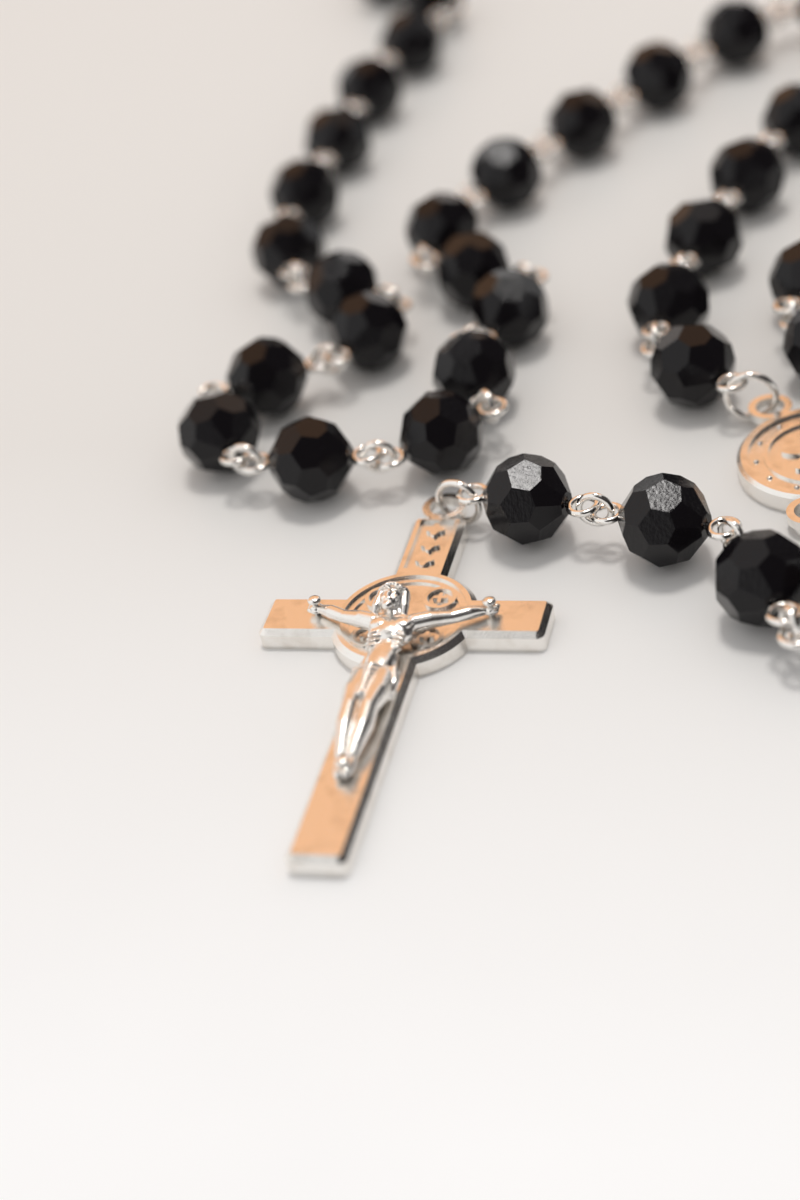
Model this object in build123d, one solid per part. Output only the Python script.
"""A five-decade rosary: faceted glass beads on eye pins, joined by rings to a medal and a crucifix.

Millimetres, +Z up. The rosary lies on a table at Z = 0. The origin is on the table under the
crossing of the crucifix, +X runs along its right arm and +Y up its upright.
"""
from build123d import *
import math
import os

# Beads and the wire that joins them
BEAD_RADIUS = 3.9        # from the middle to each flat facet
BEAD_HALF_LENGTH = 4.1   # from the middle to the flat at each end of the hole
BEAD_SIDES = 8           # facets around the hole in each of the four rows
BEAD_HOLE = 0.40         # radius
MIDDLE_ROW_TILT = 18     # degrees, how far the two middle rows lean towards the ends
END_ROW_TILT = 52
PIN_WIRE = 0.32          # radius
EYE_RADIUS = 1.28        # to the middle of the wire
RING_WIRE = 0.35
RING_RADIUS = 1.50
NECK = 0.05              # bare wire between a bead and its eye
BEAD_Z = 4.28            # height of a resting bead's middle
EYE_RISE = 0.35          # one eye of each bead rides this high over the middle, the other this low
EYE_GAP = 2.2            # between the eyes that share a ring
END_EYE_GAP = 4.9        # at the link where the loop is left open
LUG_GAP = 3.5            # from an eye to the lug of a casting, in plan

# Crucifix
CROSS_THICK = 2.0
ARM_REACH = 13.2
ARM_HALF = 2.6
TOP_REACH = 14.8
FOOT_REACH = 30.6
CROSS_BEVEL = 0.5
DISC_RADIUS = 6.7
CORNER_ROUND = 0.7
LUG_Y = 16.6
LUG_RADIUS = 2.1
LUG_HOLE = 1.4
LUG_THICK = 0.9
LUG_BOTTOM = 0.95

BOSS_STEPS = ((5.75, 0.25), (5.05, 0.45))   # radius and depth of each step into the boss
RELIEF_SINK = 0.1        # raised details reach this far into the casting below them
RELIEF_HEIGHT = 0.4
RELIEF_LINE = 0.35
BADGE_PLACE = 2.75
BADGE_RADIUS = 1.55
BADGE_CROSS = 1.3
PLAQUE_Y = 10.5
PLAQUE_WIDTH = 3.3
PLAQUE_LENGTH = 7.4
PLAQUE_DEPTH = 0.35
FLOWERS = 3
FLOWER_PITCH = 2.3
FLOWER_RADIUS = 0.62
PETAL_RADIUS = 0.3

# Centre medal
MEDAL_RADIUS = 7.6
MEDAL_THICK = 2.0
MEDAL_LUG_REACH = 9.3    # from the medal's middle to each lug hole
MEDAL_LUG_TURNS = {"low": -90, "left": 125, "right": 55}

# How the strands lie on the table, as bends from one end of each strand to the other
PENDANT_BENDS = [(0, LUG_Y), (2.7, 15.9), (7.6, 13.6), (15, 12.6), (22.2, 11.6), (29, 8)]
PENDANT_END = [(34, 16), (29, 22)]
LEFT_BENDS = [(21.8, 32.8), (17.6, 36.5), (17.0, 48), (18.8, 61.7), (22.0, 74), (25.5, 87), (31.5, 97),
              (37, 106.5), (35.5, 117), (28, 121.5), (20, 117), (13.2, 109), (6.2, 98.8), (-0.7, 88),
              (-7.5, 76), (-12.6, 64.5), (-8.5, 55.5), (1, 54.5), (5, 46.5), (-3, 41.5), (-6, 34.5),
              (2.5, 29.5), (-3, 22.5), (-13.6, 21)]
LEFT_END = [(-25.5, 56.5), (-30.2, 66), (-29.8, 79), (-29.7, 92), (-29, 104.5), (-27.8, 117), (-24, 129)]
RIGHT_BENDS = [(33, 40.5), (29.5, 47), (31.5, 56), (41, 62), (54, 66), (67, 72), (80, 86), (88, 106)]

# Round turns of the chain: middle, radius, and the two angles the turn runs between
PENDANT_TURN = ((39, 0), 6, 180, 400)
OUTER_FOLD = ((-19.5, 30), 9, 250, 100)
INNER_FOLD = ((-17, 45.5), 6.5, -70, 110)
TURN_STEPS = 4
FAR_MIDDLE = (28, 122)   # the far bend is let out from here until the two strands meet
FAR_WIDTH = 0.9          # half width of the far bend, as a share of how far it is let out
FAR_TURNS = (20, 50, 80, 110, 140, 165)
FAR_REACH_LIMITS = (40.0, 100.0)
HALVINGS = 18

PENDANT_BEADS = 5
PENDANT_ROLL = -17       # degrees a bead is turned on its pin, from one facet of a middle row facing up
STRAND_ROLL_STEP = 29    # each bead of the main loop is turned this much further than the one before
SINGLE = 1
STRAND_GROUPS = (3, 4, 3, SINGLE, 3, 4, 3, SINGLE, 5)   # beads that share one body, from the medal out

EYE_REACH = BEAD_HALF_LENGTH + NECK + PIN_WIRE + EYE_RADIUS
EYE_TILT = math.asin(EYE_RISE / EYE_REACH)
EYE_TO_EYE = 2 * EYE_REACH * math.cos(EYE_TILT)
SPLINE_STEPS = 24


def smooth_path(bends):
    """Points along a smooth curve through the bends."""
    points = [Vector(*bend) for bend in bends]
    points = [points[0] * 2 - points[1]] + points + [points[-1] * 2 - points[-2]]
    path = []
    for before, here, there, after in zip(points, points[1:], points[2:], points[3:]):
        bend = before * -1 + here * 3 - there * 3 + after
        sweep = before * 2 - here * 5 + there * 4 - after
        for k in range(SPLINE_STEPS):
            t = k / SPLINE_STEPS
            path.append((here * 2 + (there - before) * t + sweep * t**2 + bend * t**3) * 0.5)
    return path + [points[-2]]


def round_turn(middle, radius, start, stop):
    """Bends evenly spaced along a round turn."""
    turns = [math.radians(start + (stop - start) * k / TURN_STEPS) for k in range(TURN_STEPS + 1)]
    return [(middle[0] + radius * math.cos(turn), middle[1] + radius * math.sin(turn)) for turn in turns]


def walk(path, chords):
    """Steps along the path, each a straight chord of the given length, and how many path points they pass."""
    stops = [path[0]]
    i = 0
    t = 0.0
    for chord in chords:
        start = stops[-1]
        while (path[i + 1] - start).length < chord:
            i += 1
        back, along = path[i] - start, path[i + 1] - path[i]
        a, b, c = along.dot(along), 2 * back.dot(along), back.dot(back) - chord**2
        t = (-b + math.sqrt(b * b - 4 * a * c)) / (2 * a)
        stops.append(path[i] + along * t)
    return stops, i + t


def bead_chords(beads):
    """Eye to eye across each bead, and from one bead's eye to the next."""
    return ([EYE_TO_EYE, EYE_GAP] * beads)[:-1]


def pairs(stops):
    return [(stops[i], stops[i + 1]) for i in range(0, len(stops) - 1, 2)]


def lay_pendant():
    """The pendant beads from the medal down, each as its eye near the medal and the other, and the lug."""
    bends = PENDANT_BENDS + round_turn(*PENDANT_TURN) + PENDANT_END
    stops, _ = walk(smooth_path(bends), [LUG_GAP] + bead_chords(PENDANT_BEADS) + [LUG_GAP])
    beads = [(upper, lower) for lower, upper in pairs(stops[1:-1])]
    return beads[::-1], stops[-1]


def medal_centre():
    return lay_pendant()[1] - lug_offset("low")


def lug_offset(side):
    turn = math.radians(MEDAL_LUG_TURNS[side])
    return Vector(math.cos(turn), math.sin(turn)) * MEDAL_LUG_REACH


def medal_lug(side):
    return medal_centre() + lug_offset(side)


def loop_path(let_out):
    """The main loop from the left lug round to the right lug, its far bend let out by let_out."""
    far = [(FAR_MIDDLE[0] - let_out * FAR_WIDTH * math.cos(math.radians(turn)),
            FAR_MIDDLE[1] + let_out * math.sin(math.radians(turn))) for turn in FAR_TURNS]
    left, right = medal_lug("left"), medal_lug("right")
    folds = round_turn(*OUTER_FOLD) + round_turn(*INNER_FOLD)
    near = [(left.X, left.Y)] + LEFT_BENDS + folds + LEFT_END
    bends = near + far + RIGHT_BENDS[::-1] + [(right.X, right.Y)]
    return smooth_path(bends)


def lay_strands():
    """Eyes of the left and the right strand from the medal out. The far bend is sized so that they meet."""
    chords = [LUG_GAP] + bead_chords(sum(STRAND_GROUPS))
    short, long = FAR_REACH_LIMITS
    for _ in range(HALVINGS):
        let_out = (short + long) / 2
        path = loop_path(let_out)
        left, passed_left = walk(path, chords + [END_EYE_GAP])
        right, passed_right = walk(path[::-1], chords)
        ends_overlap = passed_left + passed_right > len(path) - 1
        short, long = (let_out, long) if ends_overlap else (short, let_out)
    return pairs(left[1:-1]), pairs(right[1:])


def eye_points(bead):
    """The middle of a bead's high and low eye."""
    upper, lower = bead
    return Vector(upper.X, upper.Y, BEAD_Z + EYE_RISE), Vector(lower.X, lower.Y, BEAD_Z - EYE_RISE)


def bead_location(bead):
    """Puts a part that was made along Z onto a bead's hole axis."""
    high, low = eye_points(bead)
    across = Vector(0, 0, 1).cross(low - high)
    return Location(Plane(origin=(high + low) / 2, x_dir=across, z_dir=low - high))


def laid_bead(bead, place, roll):
    return bead_location(place) * Rotation(0, 0, roll) * bead


def faceted_bead():
    """Glass bead with four staggered rows of facets, drilled along Z."""
    bead = Cylinder(BEAD_RADIUS * 2, 2 * BEAD_HALF_LENGTH)
    rows = [(END_ROW_TILT, 0), (MIDDLE_ROW_TILT, 0.5), (-MIDDLE_ROW_TILT, 0), (-END_ROW_TILT, 0.5)]
    for tilt, stagger in rows:
        for side in range(BEAD_SIDES):
            turn = (side + stagger) * 360 / BEAD_SIDES
            normal = Vector(1, 0, 0).rotate(Axis.Y, -tilt).rotate(Axis.Z, turn)
            bead = split(bead, Plane(origin=normal * BEAD_RADIUS, z_dir=normal), keep=Keep.BOTTOM)
    return (bead - Cylinder(BEAD_HOLE, 4 * BEAD_HALF_LENGTH)).solid()


def eye_pin():
    """Wire through a bead along Z with an eye at each end. The eyes lie flat once the bead is laid."""
    eye = Rotation(90, 0, 0) * Torus(EYE_RADIUS, PIN_WIRE)
    shaft = Cylinder(PIN_WIRE, 2 * (EYE_REACH - EYE_RADIUS))
    return (shaft + Pos(0, 0, EYE_REACH) * eye + Pos(0, 0, -EYE_REACH) * eye).solid()


def ring_between(start, end, radius=None):
    """A ring standing upright through two eyes, as wide as they are apart unless a radius is given."""
    span = end - start
    radius = radius or span.length / 2
    side = span.cross(Vector(0, 0, 1))
    upright = Plane(origin=(start + end) / 2, x_dir=span, z_dir=side)
    return (Location(upright) * Torus(radius, RING_WIRE)).solid()


def standing(radius, height, bottom=0):
    """A cylinder that stands on the height bottom."""
    return Pos(0, 0, bottom) * Cylinder(radius, height, align=(Align.CENTER, Align.CENTER, Align.MIN))


def casting_lug():
    return standing(LUG_RADIUS, LUG_THICK, LUG_BOTTOM)


def lug_hole():
    return Cylinder(LUG_HOLE, 3 * CROSS_THICK)


def badge():
    """A small ring with a plain cross in it."""
    ring = extrude(Circle(BADGE_RADIUS) - Circle(BADGE_RADIUS - RELIEF_LINE), RELIEF_HEIGHT)
    bar = Rectangle(BADGE_CROSS, RELIEF_LINE)
    return ring + extrude(bar + Rotation(0, 0, 90) * bar, RELIEF_HEIGHT)


def flower():
    petals = [Rotation(0, 0, 90 * k) * Pos(FLOWER_RADIUS, 0) * Circle(PETAL_RADIUS) for k in range(4)]
    return extrude(Circle(FLOWER_RADIUS) + petals, RELIEF_HEIGHT)


def cross_casting():
    """Flat bevelled cross with a round boss at the crossing, two plaques and a lug at the top."""
    arms = Rectangle(2 * ARM_REACH, 2 * ARM_HALF)
    upright = Pos(0, (TOP_REACH - FOOT_REACH) / 2) * Rectangle(2 * ARM_HALF, TOP_REACH + FOOT_REACH)
    outline = arms + upright
    ends = [v for v in outline.vertices() if max(abs(v.X), abs(v.Y)) > DISC_RADIUS]
    outline = fillet(ends, CORNER_ROUND) + Circle(DISC_RADIUS)
    cross = extrude(outline, CROSS_THICK)
    front = cross.faces().sort_by(Axis.Z)[-1]
    cross = chamfer(front.outer_wire().edges(), CROSS_BEVEL)
    for radius, depth in BOSS_STEPS:
        cross -= standing(radius, depth, CROSS_THICK - depth)
    boss_floor = CROSS_THICK - BOSS_STEPS[-1][1] - RELIEF_SINK
    for across in (-1, 1):
        for up in (-1, 1):
            cross += Pos(across * BADGE_PLACE, up * BADGE_PLACE, boss_floor) * badge()
    plaque_floor = CROSS_THICK - PLAQUE_DEPTH
    cross -= Pos(0, PLAQUE_Y, plaque_floor) * extrude(Rectangle(PLAQUE_WIDTH, PLAQUE_LENGTH), CROSS_THICK)
    for n in range(FLOWERS):
        along = PLAQUE_Y + (n - (FLOWERS - 1) / 2) * FLOWER_PITCH
        cross += Pos(0, along, plaque_floor - RELIEF_SINK) * flower()
    for x, y in rivet_places():
        cross -= Pos(x, y) * Cylinder(RIVET_RADIUS + RIVET_ROOM, 3 * CROSS_THICK)
    cross += Pos(0, LUG_Y) * casting_lug()
    cross -= Pos(0, LUG_Y) * lug_hole()
    return cross.solid()


HAND = (8.1, 0.1, 2.55)
CHEST = (0, -2.9, 3.05)
SHOULDER = (1.75, -2.6, 3.1)
HIP = (0.75, -9.6, 3.05)
KNEE = (0.75, -14.4, 3.7)
ANKLE = (0.45, -19.6, 2.85)
HEAD = (-0.5, -0.25, 3.9)
CHIN = (-0.5, -1.2, 3.95)
HEAD_RADIUS = 1.28
CHIN_RADIUS = 0.9


def limb(start, end, start_radius, end_radius):
    """A tapered round limb with rounded ends."""
    span = Vector(*end) - Vector(*start)
    cone = Cone(start_radius, end_radius, span.length, align=(Align.CENTER, Align.CENTER, Align.MIN))
    return Location(Plane(origin=start, z_dir=span)) * cone + Pos(*end) * Sphere(end_radius)


def mirrored(point, side):
    return (point[0] * side, point[1], point[2])


def lofted(sections, height):
    """A smooth body through ellipses, each given as its y, half width and half depth."""
    return loft([Plane(origin=(0, y, height), z_dir=(0, -1, 0)) * Ellipse(wide, deep)
                 for y, wide, deep in sections])


def corpus_casting():
    """The figure on the cross, cast in one piece: torso, wrap, arms and legs."""
    torso = [(-2.6, 2.3, 1.1), (-5.0, 2.0, 1.15), (-8.0, 1.5, 0.9), (-10.2, 1.65, 1.0)]
    figure = lofted(torso, 3.0)
    wrap = [(-8.9, 1.75, 1.1), (-11.0, 2.1, 1.25), (-13.2, 1.95, 1.2)]
    figure += lofted(wrap, 3.05)
    figure += limb((0, -2.6, 3.1), HEAD, 0.6, 0.55)
    figure += Pos(*HEAD) * Sphere(HEAD_RADIUS)
    figure += limb(HEAD, CHIN, HEAD_RADIUS, CHIN_RADIUS)
    for side in (-1, 1):
        figure += limb(CHEST, mirrored(SHOULDER, side), 1.15, 0.95)
        elbow = (side * 4.9, -1.5, 2.95)
        figure += limb(mirrored(SHOULDER, side), elbow, 0.85, 0.64)
        figure += limb(elbow, mirrored(HAND, side), 0.64, 0.48)
        figure += Pos(*mirrored(HAND, side)) * scale(Sphere(1), by=(0.85, 0.7, 0.55))
        figure += limb(mirrored(HIP, side), mirrored(KNEE, side), 1.1, 0.85)
        figure += limb(mirrored(KNEE, side), mirrored(ANKLE, side), 0.85, 0.5)
    figure += Pos(0.15, -20.9, 2.5) * scale(Sphere(1), by=(0.95, 1.6, 0.6))
    figure -= Pos(0, 0, CROSS_THICK - 5) * Box(60, 80, 10)
    for x, y in rivet_places():
        figure -= Pos(x, y, 2.0) * Cylinder(RIVET_RADIUS + RIVET_ROOM, 8)
    return figure.solids().sort_by(SortBy.VOLUME)[-1]


RIVET_RADIUS = 0.28
RIVET_ROOM = 0.02
RIVET_HEAD_Z = 3.05


def rivet_places():
    return [(-HAND[0], HAND[1]), (HAND[0], HAND[1]), (0.15, -20.9)]


def rivets():
    """Headed pins that hold the figure, through the hands and the feet."""
    pin = Pos(0, 0, 0.4) * Cylinder(RIVET_RADIUS, 3.1, align=(Align.CENTER, Align.CENTER, Align.MIN))
    pin += Pos(0, 0, RIVET_HEAD_Z + 0.45) * scale(Sphere(0.62), by=(1, 1, 0.55))
    return [(Pos(x, y) * pin).solid() for x, y in rivet_places()]


def medal_casting():
    """Round medal with a raised rim, an inner ring, a plain flower relief and three lugs."""
    disc = Circle(MEDAL_RADIUS)
    medal = chamfer(extrude(disc, MEDAL_THICK).faces().sort_by(Axis.Z)[-1].edges(), 0.35)
    medal -= Pos(0, 0, MEDAL_THICK - 0.3) * extrude(Circle(6.6), 1)
    medal += Pos(0, 0, MEDAL_THICK - 0.4) * extrude(Circle(5.1) - Circle(4.7), 0.35)
    petals = Circle(0.9)
    for k in range(6):
        petals += Rotation(0, 0, 60 * k) * Pos(2.2, 0) * Ellipse(1.35, 0.75)
    medal += Pos(0, 0, MEDAL_THICK - 0.4) * extrude(petals, 0.4)
    for k in range(12):
        medal += Rotation(0, 0, 30 * k + 15) * Pos(5.85, 0, MEDAL_THICK - 0.35) * Sphere(0.28)
    for side in MEDAL_LUG_TURNS:
        offset = lug_offset(side)
        medal += Pos(offset.X, offset.Y) * casting_lug()
    for side in MEDAL_LUG_TURNS:
        offset = lug_offset(side)
        medal -= Pos(offset.X, offset.Y) * lug_hole()
    return (Pos(*medal_centre()) * medal).solid()


def lug_point(place):
    return Vector(place.X, place.Y, LUG_BOTTOM + LUG_THICK / 2)


def strand_rings(beads, start_lug):
    """One ring above each bead of a strand; the first one reaches down to the medal."""
    rings = []
    for i, bead in enumerate(beads):
        high = eye_points(bead)[0]
        if i == 0:
            rings.append(ring_between(lug_point(start_lug), high))
        else:
            rings.append(ring_between(eye_points(beads[i - 1])[1], high, RING_RADIUS))
    return rings


def group_name(side, group):
    """Names a stretch by its decade, counted from the medal out, and by its letter within the decade."""
    before = STRAND_GROUPS[:group]
    decade = 1 + before.count(SINGLE)
    if STRAND_GROUPS[group] == SINGLE:
        return f"{side}_single_{decade}"
    last_single = max([i + 1 for i, count in enumerate(before) if count == SINGLE], default=0)
    return f"{side}_decade_{decade}{'abc'[group - last_single]}"


def save(name, solids):
    shape = solids[0] if len(solids) == 1 else Compound(children=solids)
    shape.label = name
    export_step(shape, f"parts/{name}.step")


def build():
    os.makedirs("parts", exist_ok=True)
    bead, pin = faceted_bead(), eye_pin()
    pendant, low_lug = lay_pendant()
    for i, (place, ring) in enumerate(zip(pendant, strand_rings(pendant, low_lug)), 1):
        save(f"pendant_bead_{i}", [laid_bead(bead, place, PENDANT_ROLL)])
        save(f"pendant_pin_{i}", [bead_location(place) * pin])
        save(f"pendant_ring_{i}", [ring])
    crucifix_lug = lug_point(Vector(0, LUG_Y))
    save("crucifix_ring", [ring_between(eye_points(pendant[-1])[1], crucifix_lug)])
    save("crucifix_cross", [cross_casting()])
    save("crucifix_corpus", [corpus_casting()])
    save("crucifix_rivets", rivets())
    save("centre_medal", [medal_casting()])
    strands = dict(zip(("left", "right"), lay_strands()))
    for side, places in strands.items():
        rings = strand_rings(places, medal_lug(side))
        first = 0
        for group, count in enumerate(STRAND_GROUPS):
            chosen = places[first:first + count]
            name = group_name(side, group)
            save(f"{name}_beads", [laid_bead(bead, place, STRAND_ROLL_STEP * (first + n))
                                   for n, place in enumerate(chosen)])
            links = [bead_location(place) * pin for place in chosen] + rings[first:first + count]
            if side == "left" and group == len(STRAND_GROUPS) - 1:
                links.append(closing_ring(strands))
            save(f"{name}_links", links)
            first += count


def closing_ring(strands):
    """The ring in the last eye of the left strand. It stops short of the last eye of the right one."""
    left_end, right_end = (eye_points(strands[side][-1])[1] for side in ("left", "right"))
    reach = (right_end - left_end).normalized() * EYE_GAP
    return ring_between(left_end, left_end + reach, RING_RADIUS)


if __name__ == "__main__":
    build()
